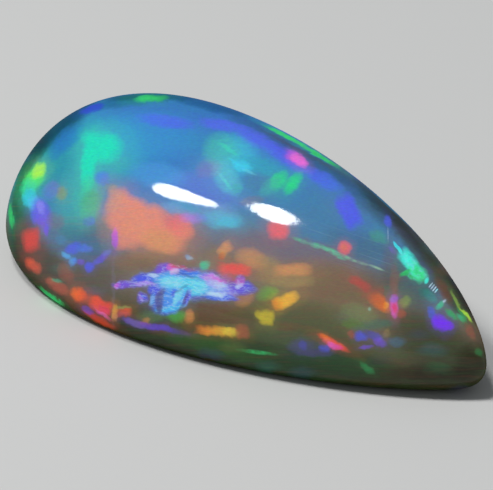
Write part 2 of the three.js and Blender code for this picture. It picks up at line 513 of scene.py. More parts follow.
# The flashes of the side that the photograph shows. After the hue come how strong a flash is and how far its
# edge fades inwards, both 1 unless told otherwise.
PHOTO_FLASHES = [
    # Along the top and the upper rim
    flash("green rim", (151, 98.6), 0.99, 0.25, 3, (SPRING_GREEN, FERN), 1, 0.9),
    flash("blue rim", (92, 108.5), 0.74, 0.25, 20, RIM_INDIGO, 0.95, 0.9),
    flash("blue band left", (165, 121), 1.66, 0.43, -9, (BLUE, INDIGO), 0.85),
    flash("indigo band", (222, 125), 1.29, 0.37, -9, INDIGO, 0.9),
    flash("indigo band middle", (256, 139), 1.54, 0.46, -29, INDIGO, 0.95),
    flash("indigo band right", (287, 158), 1.42, 0.49, -37, INDIGO, 0.95),
    flash("indigo band end", (322, 179), 1.29, 0.46, -29, (INDIGO, BLUE), 0.9),
    flash("cyan pool", (231, 154), 1.54, 1.23, -20, (SEA_HAZE, CYAN), 0.75),
    flash("green side of the pool", (221, 150), 1.11, 0.92, -40, SEA_GREEN, 0.35),
    flash("cyan on the right", (258, 166), 1.36, 0.55, -12, TEAL, 0.8),
    flash("teal tongue", (226, 177.5), 1.11, 0.65, -50, POOL_ICE, 0.7),
    flash("cyan heart", (242, 165.6), 0.59, 0.35, -14, CYAN, 0.75),
    flash("cyan stroke", (236, 162.6), 0.49, 0.1, -22, CYAN, 0.55),
    flash("cyan stroke low", (249, 171.4), 0.43, 0.09, -28, (CYAN, AQUA_ICE), 0.5),
    flash("mint stroke", (224, 180), 0.62, 0.11, -54, (AQUA_ICE, MINT), 0.4),
    flash("mint stroke high", (229, 149), 0.68, 0.12, -36, MINT, 0.35),
    flash("tongue tip", (237, 188.5), 0.37, 0.25, -20, SEA_HAZE, 0.6),
    flash("lilac mist", (208, 168.5), 0.74, 0.55, 10, LILAC, 0.38),
    flash("grey mist", (257, 182), 0.86, 0.55, -10, GREY_BLUE, 0.35),
    flash("rose mist", (252, 201), 0.74, 0.25, 5, MAUVE, 0.5),
    flash("green wing left", (279, 180), 0.62, 0.44, 45, WING_GREEN, 0.9),
    flash("green wing right", (293, 183.5), 0.71, 0.37, 52, WING_GREEN),
    flash("green mist", (270, 187), 0.74, 0.43, 40, (SEA_HAZE, SEA_GREEN), 0.5),
    flash("orchid left end", (291.5, 155), 0.37, 0.28, -30, (VIOLET, ORCHID), 0.9),
    flash("orchid flash", (299.3, 160.3), 0.55, 0.33, -42, ORCHID, 1, 0.7),
    # Painted shade: a dark falloff just inside the upper rim
    flash("dark line under the rim", (301, 151), 2.71, 0.12, -30, SMOKE, 0.4),
    flash("green rim right", (286, 136), 1.36, 0.14, -28, SPRING_GREEN, 0.95, 0.9),
    flash("green rim end", (321, 156.5), 1.29, 0.12, -31, SPRING_GREEN, 0.9, 0.9),
    tile("indigo block", (349, 211), 1.02, 0.59, -66, INDIGO, 0.98, 0.6),
    flash("indigo by the rim", (388, 221), 0.43, 0.22, -75, INDIGO, 0.8, 0.8),
    flash("teal by the rim", (379, 236.5), 0.55, 0.34, -30, COLUMN_GREEN, 0.5),
    flash("cyan below the light", (180, 208), 1.05, 0.43, -8, (SKY, TEAL), 0.7),
    flash("cyan beside it", (221, 220), 1.23, 0.52, -4, STREAM, 0.75),
    flash("cyan spark", (228, 222), 0.68, 0.31, 0, CYAN, 0.35),
    flash("lilac by the salmon", (196, 218), 0.74, 0.31, -6, (LAVENDER, PERIWINKLE), 0.6),
    flash("rose under the light", (278, 229.5), 0.65, 0.55, -10, ROSE, 0.95, 0.8),
    flash("rose dot", (344.4, 247.8), 0.37, 0.36, 0, ROSE, 0.9, 0.8),
    flash("rose dot heart", (343.5, 248), 0.18, 0.18, 0, AMBER, 0.35),
    # The round end
    flash("teal patch", (103, 147.5), 1.14, 0.92, 0, TURQUOISE, 0.98, 0.9),
    flash("teal corner", (90, 138), 0.55, 0.43, 0, TURQUOISE, 0.6),
    flash("teal column", (88.5, 166), 1.79, 0.46, 86, TURQUOISE, 1, 0.9),
    flash("column middle", (88, 194), 0.99, 0.55, 86, SEA_GREEN, 0.5),
    flash("column foot", (90, 205), 0.86, 0.62, 80, (SEA_GREEN, COLUMN_GREEN), 0.8),
    flash("blue blot", (102, 178), 0.43, 0.4, 0, BLUE, 0.7),
    flash("khaki mist", (111, 188), 0.37, 0.31, 0, OLIVE, 0.35),
    flash("grey behind the lemon", (54, 188), 0.49, 0.37, 0, MAUVE, 0.4),
    flash("lemon flash", (34.5, 178.5), 0.99, 0.59, 60, LIME),
    flash("lime foot", (28.5, 188), 0.59, 0.52, 60, LIME_SHADE, 0.9),
    flash("lemon tip", (38.6, 171), 0.52, 0.42, 45, LEMON, 0.75),
    flash("cyan flash", (29.5, 198), 0.55, 0.46, 88, LAGOON_ICE),
    flash("cyan core", (34.5, 204.5), 0.52, 0.41, -60, (CYAN, SKY), 0.9),
    flash("blue under the cyan", (37, 217), 0.49, 0.37, -50, (BLUE, INDIGO), 0.7),
    flash("indigo flash", (42, 214), 1.02, 0.59, -68, (INDIGO, VIOLET), 0.95),
    flash("violet haze", (51, 191), 0.62, 0.49, 60, PERIWINKLE, 0.6),
    flash("lavender core", (40.6, 206.6), 0.43, 0.26, -66, LAVENDER_BLUE, 0.85),
    flash("violet drop", (46.2, 230), 0.37, 0.16, -78, (INDIGO, VIOLET), 0.85),
    flash("plum mist", (55, 221), 0.55, 0.49, 0, MAUVE, 0.55),
    flash("khaki dot", (62, 193.5), 0.37, 0.41, 0, OLIVE, 0.6),
    flash("green edge", (11, 216), 0.74, 0.16, -80, (FERN, SPRING_GREEN), 0.95, 0.9),
    tile("red square", (31, 240), 0.54, 0.65, 4, RED, 0.95),
    flash("red spot", (33, 265.5), 0.59, 0.37, -42, (FLAME, BRICK), 0.95),
    # The blue flecks under it
    flash("steel fleck", (61, 240), 0.37, 0.31, 0, SLATE, 0.7),
    flash("blue fleck high", (89, 221), 0.37, 0.31, 0, (SLATE, BLUE), 0.7),
    flash("indigo fleck", (73, 248), 0.49, 0.31, 30, INDIGO, 0.8),
    flash("blue smear", (84, 249), 0.49, 0.25, 5, (BLUE, PERIWINKLE), 0.8),
    flash("sky fleck left", (66, 256), 0.28, 0.18, -20, SKY, 0.75, 0.9),
    flash("sky fleck", (73, 261.5), 0.28, 0.26, 0, (SKY, BLUE), 0.85, 0.8),
    flash("violet path", (81, 262.5), 0.25, 0.16, 10, VIOLET, 0.6),
    flash("violet dot", (89.3, 267), 0.31, 0.3, 0, INDIGO, 0.85),
    flash("violet streak", (100.5, 259.5), 0.59, 0.21, 34, (INDIGO, VIOLET), 0.7),
    flash("violet streak end", (107, 252.5), 0.28, 0.16, 50, PERIWINKLE, 0.6),
    flash("grey thread", (113.5, 272), 3.08, 0.11, 89, MAUVE, 0.35),
    # The salmon sheet
    tile("salmon sheet", (137, 219), 1.85, 1.15, -23, SALMON, 0.95, 0.5),
    tile("salmon corner", (117, 200), 0.62, 0.74, -8, (TAN, SALMON), 0.85),
    tile("salmon wing", (160, 236), 1.48, 0.83, -14, SALMON, 0.95, 0.7),
    tile("salmon foot", (126, 234), 0.75, 0.89, -4, SALMON, 0.85, 0.8),
    flash("tan by the salmon", (105, 222), 1.23, 0.55, 88, GOLDEN, 0.18),
    flash("gold in the salmon", (160, 241), 1.17, 0.68, -10, GOLDEN, 0.85),
    flash("gold on the left", (134, 222), 0.99, 0.86, 0, (GOLDEN, SALMON), 0.35),
    flash("rose corner", (179, 227), 0.92, 0.59, -35, (ROSE, SALMON), 0.9),
    flash("orchid haze", (187, 219), 0.49, 0.28, -8, (ORCHID, LAVENDER), 0.4),
    flash("violet thread", (114.6, 238), 0.55, 0.2, 88, (VIOLET, ORCHID), 0.85, 0.9),
    # The foot of the round end
    flash("brick mist", (66, 273), 0.62, 0.43, -50, BRICK, 0.45),
    flash("brick fleck", (49.5, 281), 0.28, 0.2, -20, BRICK, 0.8, 0.9),
    flash("brick streak", (59, 288), 0.68, 0.34, -24, BRICK, 0.85),
    flash("green fleck", (56.5, 280.7), 0.3, 0.15, -4, SEA_GREEN, 0.5),
    flash("green foot edge", (51, 296), 0.92, 0.15, -35, (FERN, SPRING_GREEN), 0.95, 0.9),
    flash("orange halo", (80, 297), 0.68, 0.37, -24, (BRICK, FLAME), 0.45),
    flash("orange spot", (78.3, 294.3), 0.49, 0.41, -20, (BRIGHT_ORANGE, FLAME), 1, 0.9),
    flash("red haze", (90, 299), 0.49, 0.27, -20, (BRICK, FLAME), 0.35),
    tile("red mass", (101, 306), 0.74, 0.43, -26, (FLAME, RED), 1, 0.6),
    flash("crimson in the red", (104, 310), 0.43, 0.18, -30, CRIMSON, 0.6),
    flash("red foot", (98, 318.8), 1.11, 0.22, -28, DEEP_FLAME, 0.95, 0.6),
    flash("violet lick", (87.5, 310.5), 0.43, 0.17, -22, (VIOLET, DEEP_VIOLET), 0.6),
    flash("magenta streak", (104, 315), 0.55, 0.12, -32, (ORCHID, ROSE), 0.7),
    tile("gold post", (115.2, 313), 0.43, 0.16, 88, (AMBER, GOLD), 1, 0.7),
    tile("brick block", (124, 312), 0.46, 0.26, 4, (BRICK, FLAME), 0.9, 0.7),
    flash("pale lid", (123.6, 307.4), 0.43, 0.09, 4, OLIVE, 0.8, 0.9),
    flash("violet underline left", (135.5, 322.7), 0.74, 0.22, -18, (VIOLET, MAUVE), 0.8),
    flash("magenta tint", (146, 323.5), 0.37, 0.16, -10, MAGENTA, 0.35),
    flash("violet underline", (158, 327.6), 1.23, 0.2, -11, DEEP_VIOLET, 0.95),
    flash("violet underline end", (182, 332), 0.55, 0.18, -8, DUSK, 0.7),
    flash("moss fleck", (178, 316.5), 0.59, 0.34, 8, GRASS, 0.95),
    flash("moss mist", (152, 316), 0.86, 0.37, 0, MOSS, 0.5),
    flash("amber fleck", (189.5, 316.5), 0.28, 0.37, 0, AMBER, 0.9),
    flash("amber speck", (146, 319), 0.25, 0.18, 0, AMBER, 0.6),
    tile("golden bar", (217, 331.3), 1.14, 0.28, -5, (ORANGE, YELLOW), 0.98, 0.5),
    flash("golden bar top", (230, 332), 0.49, 0.25, -5, BRIGHT_YELLOW, 0.7, 0.8),
    tile("dark red end", (242, 331.6), 0.37, 0.43, 0, BRICK, 0.65),
    # The middle
    flash("teal dot", (205, 265.3), 0.3, 0.27, 0, SEA_GREEN, 0.9, 0.8),
    flash("pale fleck", (189, 256.5), 0.25, 0.11, -35, (SKY, ICE), 0.5, 0.9),
    tile("amber shard", (224.5, 249.5), 0.49, 0.28, 36, GOLDEN, 0.85, 0.8),
    flash("amber shard foot", (221.5, 256), 0.25, 0.21, 60, (BRICK, AMBER), 0.8),
    flash("amber veil", (252, 258.6), 0.92, 0.55, -20, BRIGHT_AMBER, 0.75),
    flash("khaki veil", (268, 266), 0.8, 0.62, -20, KHAKI, 0.6),
    tile("red shard", (234.5, 269.2), 0.89, 0.33, -7, BRIGHT_RED, 0.98, 0.8),
    flash("rose under the shard", (229, 278), 0.62, 0.28, -30, (ROSE, BRICK), 0.6),
    flash("brown veil", (268, 279), 0.99, 0.31, -8, (BROWN, KHAKI), 0.7),
    tile("amber tile", (293, 270), 1.05, 0.39, 3, BRIGHT_AMBER, 0.9, 0.7),
    tile("khaki tile", (293, 281), 1.11, 0.35, 2, KHAKI, 0.8, 0.7),
    flash("moss glint", (268, 294), 0.59, 0.38, 18, (MOSS, LEAF), 0.9),
    tile("golden tile", (285.5, 300.5), 0.74, 0.35, 27, BRIGHT_GOLD, 0.98, 0.7),
    flash("amber corner", (277, 304), 0.37, 0.34, 30, (ORANGE, GOLD), 0.7),
    tile("yellow tile", (267.6, 318), 0.41, 0.43, -8, YELLOW, 0.9, 0.7),
    flash("yellow tile wing", (260.4, 314.6), 0.35, 0.2, -38, YELLOW, 0.8, 0.9),
    flash("orange mist", (245, 300), 0.59, 0.33, 20, AMBER, 0.55),
    tile("brick shard", (360, 283.4), 0.65, 0.28, -31, ROSE_BRICK, 0.85),
    # Towards the tip
    flash("orange veil", (379.5, 302), 0.77, 0.37, -42, (BRICK, ORANGE), 0.95),
    flash("orange spark", (386, 305.5), 0.18, 0.21, 0, (ORANGE, GOLD), 0.9),
    flash("magenta post", (394.6, 306.5), 0.65, 0.25, 89, (ORCHID, MAGENTA), 0.95),
    flash("crimson heart", (395, 308), 0.28, 0.15, 89, CRIMSON, 0.7),
    flash("violet ends", (394.5, 299), 0.25, 0.25, 0, (LAVENDER, VIOLET), 0.7),
    flash("red beside it", (401.5, 314), 0.31, 0.25, -40, BRICK, 0.7),
    flash("rust above it", (395, 280), 0.92, 0.27, 89, (BRICK, BROWN), 0.4),
    flash("olive spot", (405.5, 303), 0.37, 0.31, 50, (KHAKI, LEAF), 0.7),
    flash("sage mist", (359, 313), 1.05, 0.55, -15, SAGE_LIGHT, 0.6),
    flash("moss mist right", (355, 325), 0.74, 0.31, -15, MOSS, 0.5),
    flash("pale speck", (369.6, 308.4), 0.12, 0.11, 0, PALE_SAGE, 0.8, 0.8),
    flash("teal mist", (377, 324), 0.86, 0.31, 0, DEEP_TEAL, 0.5),
    flash("flame streak", (333.6, 343.8), 0.99, 0.21, -27, FLAME, 1, 0.7),
    flash("orange above it", (325, 338.6), 0.37, 0.15, -38, ORANGE, 0.7),
    flash("magenta heart", (335.5, 346.6), 0.46, 0.16, -20, (ORCHID, CRIMSON), 0.9),
    flash("blue wedge", (325.4, 348.8), 0.31, 0.22, 0, INDIGO, 0.7),
    flash("blue dot", (302.6, 345.4), 0.27, 0.26, 60, INDIGO, 0.65),
    flash("dusk mist", (302, 347), 0.86, 0.49, 0, DUSK, 0.6),
    flash("dusk streak", (316, 353), 1.05, 0.22, 2, DUSK, 0.7),
    flash("violet lens", (361, 336), 0.37, 0.27, -10, INDIGO, 0.75),
    flash("violet lens top", (373, 335.5), 0.62, 0.25, -24, (DUSK, INDIGO), 0.7),
    flash("violet lens end", (379.5, 342.5), 0.43, 0.25, -20, VIOLET, 0.65, 0.9),
    flash("violet lens foot", (366, 347), 0.37, 0.12, 5, VIOLET, 0.65, 0.9),
    flash("red dot", (351.5, 334), 0.22, 0.21, 0, BRICK, 0.6),
    flash("pale ring", (387, 334), 0.23, 0.25, 0, KHAKI, 0.5),
    flash("steel mist", (397, 342), 0.49, 0.27, 0, STEEL, 0.6),
    flash("green tail", (367, 368), 0.49, 0.2, -40, FERN, 0.5),
    # The turquoise flash and the specks beside it
    flash("teal behind it", (407, 264), 1.05, 0.55, -54, DEEP_TEAL, 0.35),
    flash("plum by the blade", (393, 250.5), 0.31, 0.15, -40, (VIOLET, MAUVE), 0.5),
    flash("violet veil", (425, 268), 0.8, 0.25, -55, DUSK, 0.45),
    flash("teal specks", (424, 292), 0.37, 0.28, -40, DEEP_TEAL, 0.6),
    flash("teal haze", (430, 296), 0.49, 0.27, -44, (DEEP_TEAL, SEA_HAZE), 0.55),
    flash("green chip", (440.6, 305.6), 0.3, 0.17, 42, SEA_GREEN, 0.85),
    flash("pale chip", (445.3, 302.3), 0.12, 0.07, 40, ICE, 0.8, 0.8),
    flash("green scale", (451.5, 315), 0.43, 0.18, -38, FERN, 0.85),
    flash("teal scale", (461.5, 318.5), 0.34, 0.15, -50, (SEA_GREEN, FERN), 0.85),
    flash("blue neck", (432, 312.5), 0.39, 0.23, -60, (BLUE, INDIGO), 0.65),
    flash("purple drop", (440.5, 322.6), 0.54, 0.39, -50, PURPLE, 1, 0.9),
    flash("purple lobe", (447, 325.5), 0.37, 0.26, -20, PURPLE, 0.85),
    flash("leaf stroke", (457, 300.5), 0.62, 0.09, -60, LEAF, 0.8, 0.9),
    flash("lemon stroke", (466.8, 315), 0.52, 0.09, -54, LEMON, 0.9, 0.9),
    flash("leaf stroke low", (463, 315), 0.49, 0.09, -60, FERN, 0.7, 0.9),
    flash("brick tip", (470.5, 331.5), 0.52, 0.23, -62, BRICK, 0.5),
    flash("rust rim", (444, 291), 0.86, 0.31, -62, RUST, 0.6),
    flash("green tip", (479, 352), 0.31, 0.18, -60, FERN, 0.4),
]

# The swirled ribbon of blue and violet
RIBBON = [
    flash("under the body", (188, 284), 2.28, 0.83, -3, INDIGO, 0.85),
    flash("under the lobe", (170, 299.5), 1.11, 0.68, 28, (INDIGO, BLUE), 0.8),
    flash("tail", (124.5, 284.6), 0.68, 0.22, 3, VIOLET, 0.9),
    flash("tail tip", (117.4, 285.4), 0.18, 0.17, 0, (ORCHID, VIOLET), 0.8),
    flash("left lobe", (144.5, 279), 0.77, 0.37, 8, INDIGO, 1, 0.9),
    flash("top lobe", (162.5, 269.4), 0.49, 0.31, 20, VIOLET, 0.9),
    flash("magenta knot", (171.8, 269), 0.31, 0.23, -20, (ORCHID, MAGENTA), 0.85),
    flash("crimson ridge", (183, 268.5), 0.74, 0.14, -10, (CRIMSON, BRICK), 0.6),
    flash("lower lobe", (172, 300.5), 1.11, 0.65, 28, (BLUE, SKY), 1, 0.7),
    flash("body left", (171, 281.5), 1.05, 0.53, 0, SKY, 1, 0.8),
    flash("body right", (201, 284), 1.23, 0.62, -6, (CYAN, SKY), 1, 0.7),
    flash("blue arc", (193, 275), 1.11, 0.25, -6, BLUE, 0.8),
    flash("right tail", (221, 291), 0.99, 0.49, -10, (SKY, LAVENDER), 1, 0.7),
    flash("right tail foot", (221, 297.8), 0.99, 0.18, -3, (BLUE, INDIGO), 0.95, 0.7),
    flash("violet top", (213, 278.8), 0.74, 0.23, -18, (LAVENDER, ORCHID), 0.95, 0.7),
    flash("far end", (242, 288), 0.8, 0.37, -4, (VIOLET, INDIGO), 0.9, 0.9),
    flash("far end knot", (240, 280), 0.27, 0.28, 80, (ORCHID, VIOLET), 0.7),
    flash("far end spark", (239, 285.4), 0.21, 0.16, 30, (ICE, LAVENDER), 0.8),
    flash("pale cyan", (172, 282.5), 0.74, 0.31, 0, AQUA_ICE, 0.8, 0.9),
    flash("cyan core", (194, 286), 0.74, 0.49, 0, (CYAN, AQUA_ICE), 0.95, 0.9),
    flash("pink wisp", (174, 272), 0.27, 0.17, 20, PINK_ICE, 0.7),
    flash("pale wisp", (153.5, 276), 0.39, 0.12, -8, ICE, 0.75, 0.8),
    flash("lavender wisp", (145, 284), 0.62, 0.12, -4, LAVENDER, 0.95, 0.8),
    flash("white wisp", (217, 294.4), 0.55, 0.17, -8, ICE, 0.8),
    flash("lilac wisp", (216, 284.5), 0.62, 0.21, -14, (LAVENDER, ICE), 0.8),
    flash("violet patch", (154.5, 290), 0.39, 0.28, 10, INDIGO, 0.9, 0.8),
    flash("fold's hole", (174, 293), 0.22, 0.18, 60, INDIGO, 0.7),
    flash("fold's edge", (152.5, 299), 0.37, 0.18, 70, (SKY, BLUE), 0.9, 0.8),
    flash("pale fold", (177.5, 296), 0.59, 0.18, 62, AQUA_ICE, 0.75, 0.9),
    flash("indigo fold", (186.5, 298.5), 0.49, 0.18, 70, (INDIGO, VIOLET), 0.85, 0.9),
    flash("cyan foot", (170, 308), 0.8, 0.17, 12, (SKY, CYAN), 0.8, 0.9),
    flash("ring", (142, 297.4), 0.35, 0.33, 0, (VIOLET, INDIGO), 0.8, 0.9),
    flash("ring's shine", (140.4, 298), 0.25, 0.1, -50, LAVENDER, 0.7),
    flash("ring's hole", (143, 296.4), 0.14, 0.12, 0, INDIGO, 0.9),
]

# The turquoise flash near the tip
TURQUOISE_FLASH = [
    flash("turquoise blade", (397.9, 247.6), 0.43, 0.12, -60, (CYAN, AQUA), 0.95, 0.35),
    tile("turquoise flash", (408.8, 261), 0.72, 0.37, -55, AQUA, 1, 0.4),
    tile("turquoise flash end", (417, 271), 0.62, 0.39, -54, (MINT, MINT_GREEN), 1, 0.4),
    flash("ice in the turquoise", (410, 263), 0.4, 0.14, -60, AQUA, 0.6),
    flash("green in its end", (419.5, 273), 0.46, 0.25, -58, SPRING_GREEN, 0.6),
    flash("green fringe", (410, 276.5), 0.43, 0.15, -30, (FERN, SPRING_GREEN), 0.7),
    flash("green spur", (405.4, 273.6), 0.37, 0.14, 26, (FERN, SPRING_GREEN), 0.9, 0.8),
    flash("aqua chip", (427, 280.4), 0.18, 0.12, 62, AQUA, 0.95, 0.8),
]

# Dashes along a straight flaw, and the comb of lines below the turquoise flash
FLAW = [
    flash("green dash", (257.2, 352.2), 1.02, 0.12, -7, FERN, 0.9, 0.8),
    flash("dash 1", (296, 239.6), 0.22, 0.06, -24, DASH_GREEN, 0.5, 0.8),
    flash("dash 2", (303, 241.6), 0.31, 0.12, -24, DASH_GREEN, 0.85),
    flash("dash 3", (315, 245.4), 0.38, 0.15, -18, DASH_GREEN, 0.95),
    flash("dash 4", (325, 249), 0.37, 0.09, -24, DASH_GREEN, 0.7),
    flash("dash 5", (334, 252.6), 0.55, 0.16, -28, DASH_GREEN),
    flash("dash 6", (347, 257.6), 0.55, 0.1, -24, (DASH_GREEN, PALE_SAGE), 0.7),
    flash("dash 7", (361, 262.8), 0.43, 0.08, -17, PALE_SAGE, 0.65),
    flash("dash 8", (376, 267.4), 0.46, 0.07, -22, PALE_SAGE, 0.85),
    flash("dash 9", (323, 246.4), 0.31, 0.07, -28, DASH_GREEN, 0.6),
    flash("dash 10", (341, 258.4), 0.31, 0.06, -18, DASH_GREEN, 0.6),
    flash("dash 11", (297, 238.4), 0.25, 0.07, -20, DASH_GREEN, 0.4),
    flash("flaw line", (338, 254), 2.84, 0.04, -20, PALE_SAGE, 0.3),
    tile("comb 1", (430.8, 285), 0.18, 0.04, 50, ICE, 1, 0.3),
    tile("comb 2", (432.6, 286.9), 0.18, 0.04, 50, ICE, 1, 0.3),
    tile("comb 3", (434.4, 288.8), 0.18, 0.04, 50, ICE, 1, 0.3),
    tile("comb 4", (436.2, 290.8), 0.16, 0.04, 50, (ICE, AQUA_ICE), 0.9, 0.3),
    flash("rim thread", (388, 234), 0.43, 0.04, 89, ICE, 0.4),
    flash("green rim line", (287, 137.5), 1.36, 0.09, -28, SPRING_GREEN, 0.95, 0.8),
    flash("green rim line end", (320, 156.5), 1.23, 0.09, -31, (SPRING_GREEN, FERN), 0.95, 0.8),
]

HAIRLINE_SLANT = -19
HAIRLINES = flash("hairlines", (352, 250), 2.6, 0.9, HAIRLINE_SLANT, ICE, 1, 0.9)

# The dark folds in the ribbon
FOLDS = [
    flash("dark fold", (160.5, 299), 0.6, 0.24, 82, (PLUM, DUSK), 0.65),
    flash("dark fold's foot", (160, 309), 0.3, 0.14, 80, DUSK, 0.7),
    flash("thin fold", (184.5, 300), 0.5, 0.1, 72, DUSK, 0.6),
    flash("dark wave", (187, 276), 0.9, 0.09, -14, DUSK, 0.35),
    flash("dark wave low", (181, 289), 0.6, 0.08, 30, DUSK, 0.3),
]

# The zones and flashes of the sides that the photograph hides, each with its middle in millimetres
HIDDEN_PATCHES = [
    haze("teal back", (-6.5, 2.5, 2.8), 3.4, 2.4, 10, SEA_HAZE, 0.8),
    haze("periwinkle back", (1.5, 3.0, 3.2), 3.6, 1.8, -10, PERIWINKLE, 0.6),
    haze("sage back", (-2, 4.2, 1.4), 4.4, 1.4, 0, SAGE, 0.8),
    haze("azure back", (4.4, 2.5, 2.7), 3.0, 1.4, 20, AZURE, 0.6),
    haze("slate back", (5.8, 1.9, 2.0), 3.0, 1.4, 24, SLATE, 0.8),
    haze("azure ridge", (3.8, 1.9, 3.7), 2.4, 1.1, 18, AZURE, 0.75),
    haze("steel back tip", (6.9, 1.2, 1.7), 1.6, 0.9, 30, STEEL, 0.7),
    flash("back teal veil", (5.0, 1.8, 2.7), 1.4, 0.5, 28, (SEA_HAZE, TEAL), 0.6),
    tile("back green sheet", (-4.4, 3.4, 3.1), 2.0, 1.2, 15, (SPRING_GREEN, SEA_GREEN), 0.95, 0.6),
    tile("back green wing", (-2.9, 3.1, 3.9), 1.1, 0.6, 40, (FERN, SPRING_GREEN), 0.9, 0.8),
    tile("back salmon sheet", (0.4, 3.6, 2.7), 1.7, 1.0, -12, (ORANGE, SALMON), 0.95, 0.4),
    tile("back red shard", (1.9, 3.3, 2.3), 1.0, 0.45, 20, (FLAME, RED), 0.95, 0.5),
    tile("back golden tile", (2.9, 2.9, 2.0), 0.7, 0.45, 30, (GOLD, YELLOW), 0.95, 0.6),
    tile("back amber tile", (-0.9, 3.9, 1.9), 0.8, 0.5, -8, (AMBER, GOLDEN), 0.9, 0.6),
    flash("back violet band", (-1.0, 2.3, 4.6), 2.4, 0.5, 8, (INDIGO, VIOLET), 0.9),
    flash("back indigo band", (1.4, 2.4, 4.0), 2.0, 0.5, -10, (INDIGO, BLUE), 0.9),
    flash("back orchid flash", (2.9, 2.4, 3.5), 0.6, 0.4, 20, ORCHID, 1, 0.7),
    flash("back cyan pool", (-1.9, 3.2, 3.4), 1.6, 1.1, 0, (CYAN, SEA_HAZE), 0.7),
    tile("back turquoise flash", (4.3, 2.3, 2.6), 1.2, 0.5, 25, (AQUA, TURQUOISE), 1, 0.4),
    tile("back turquoise tail", (5.3, 1.9, 2.1), 0.9, 0.3, 32, (TURQUOISE, SPRING_GREEN), 0.95, 0.6),
    flash("back purple drop", (6.5, 1.3, 1.8), 0.7, 0.5, 30, PURPLE, 1, 0.6),
    flash("back lemon flash", (-7.5, 2.2, 2.5), 0.9, 0.5, 70, (LIME, LEMON), 1, 0.8),
    flash("back sky flash", (-8.1, 1.6, 1.7), 0.8, 0.4, 100, (SKY, AQUA), 1, 0.9),
    flash("back blue flecks", (-5.9, 3.4, 1.7), 0.8, 0.3, -30, (BLUE, SKY), 0.85, 0.9),
    flash("back violet fleck", (-5.1, 3.8, 1.4), 0.4, 0.3, 0, (INDIGO, VIOLET), 0.85),
    flash("back crimson streak", (-3.4, 4.2, 1.0), 1.4, 0.35, -6, (CRIMSON, FLAME), 0.95, 0.7),
    flash("back magenta spark", (-2.4, 4.2, 1.2), 0.5, 0.3, 20, (ORCHID, MAGENTA), 0.9, 0.9),
    flash("back moss fleck", (0.2, 4.0, 1.3), 0.7, 0.35, 0, GRASS, 0.9),
    flash("back green dash", (1.4, 3.7, 0.9), 1.1, 0.16, -4, FERN, 0.9),
    tile("back golden bar", (3.3, 2.9, 1.1), 1.0, 0.28, -6, (ORANGE, YELLOW), 0.95, 0.5),
    flash("back red fleck", (4.9, 2.2, 1.3), 0.6, 0.3, 20, (FLAME, BRICK), 0.9, 0.8),
    flash("back rose dot", (-7.0, 2.7, 1.3), 0.45, 0.45, 0, ROSE, 0.9, 0.9),
    flash("end green band", (-8.8, 0.4, 1.7), 1.4, 0.5, 0, (FERN, SPRING_GREEN), 0.8, 0.9),
    flash("end indigo flash", (-8.5, -0.9, 1.1), 0.7, 0.4, 20, (INDIGO, VIOLET), 0.9, 0.9),
    flash("tip orange streak", (8.2, 0.6, 1.5), 0.7, 0.22, 40, (ORANGE, BRICK), 0.9, 0.8),
    flash("tip green fleck", (7.4, 1.0, 1.0), 0.5, 0.2, 0, (FERN, SEA_GREEN), 0.8),
    tile("base green sheet", (-4.4, 0.6, 0), 2.2, 1.2, 20, (FERN, SEA_GREEN), 0.8, 0.7),
    tile("base red sheet", (0.2, 1.2, 0), 1.4, 0.8, -15, (FLAME, AMBER), 0.8, 0.6),
    flash("base blue band", (-1.6, -1.6, 0), 2.6, 0.7, 10, (BLUE, VIOLET), 0.8),
    tile("base golden tile", (3.4, -0.4, 0), 0.9, 0.6, 30, (GOLD, YELLOW), 0.8, 0.6),
    flash("base violet fleck", (5.4, 0.4, 0), 0.8, 0.4, 0, (PURPLE, INDIGO), 0.8, 0.9),
]

BACK_RIBBON = [
    flash("back ribbon", (-3.3, 4.0, 2.2), 1.7, 0.6, 8, (BLUE, SKY), 1, 0.5),
    flash("back ribbon middle", (-2.5, 4.1, 2.0), 0.9, 0.45, -10, (CYAN, SKY), 1, 0.6),
    flash("back ribbon end", (-4.3, 3.9, 2.0), 0.9, 0.35, 20, (VIOLET, INDIGO), 0.95, 0.7),
    flash("back ribbon shine", (-2.8, 4.1, 2.2), 0.7, 0.16, 0, (ICE, LAVENDER), 0.8),
]

# By height above the place where the blue of the dome gives way to grey; the blue stands partly for the haze
# lit from above, as painted light
BODY_HAZE = [
    (-3.5, hue("3c4426")),
    (-2.4, hue("6c6648")),
    (-1.4, hue("8a7a5e")),
    (-0.7, hue("887a6c")),
    (-0.2, hue("787a84")),
    (0.25, hue("6084a2")),
    (0.7, hue("4c88b8")),
    (1.2, hue("4286c4")),
    (2.0, hue("3a7cc0")),
]

# Painted shade: the lowest part of the stone is darkened towards this hue
FOOT_SHADE = hue("28341a")

# How high over the base the blue gives way, in millimetres: at the round end and from the middle on, the
# stretch over which it rises between them, and how far it falls over a stretch towards the tip
BLUE_STARTS = (2.1, 4.1)
RISING_STRETCH = (-4.0, 0.5)
TIP_FALL = 1.2
FALLING_STRETCH = (4.0, 8.0)
CLOUDS_PER_MM = 0.9
CLOUD_HEIGHT = 0.35
# The heights between which the painted shade of the foot comes in, and its share
FOOT_SHADE_HEIGHTS = (2.4, 0.2)
FOOT_SHADE_SHARE = 0.85


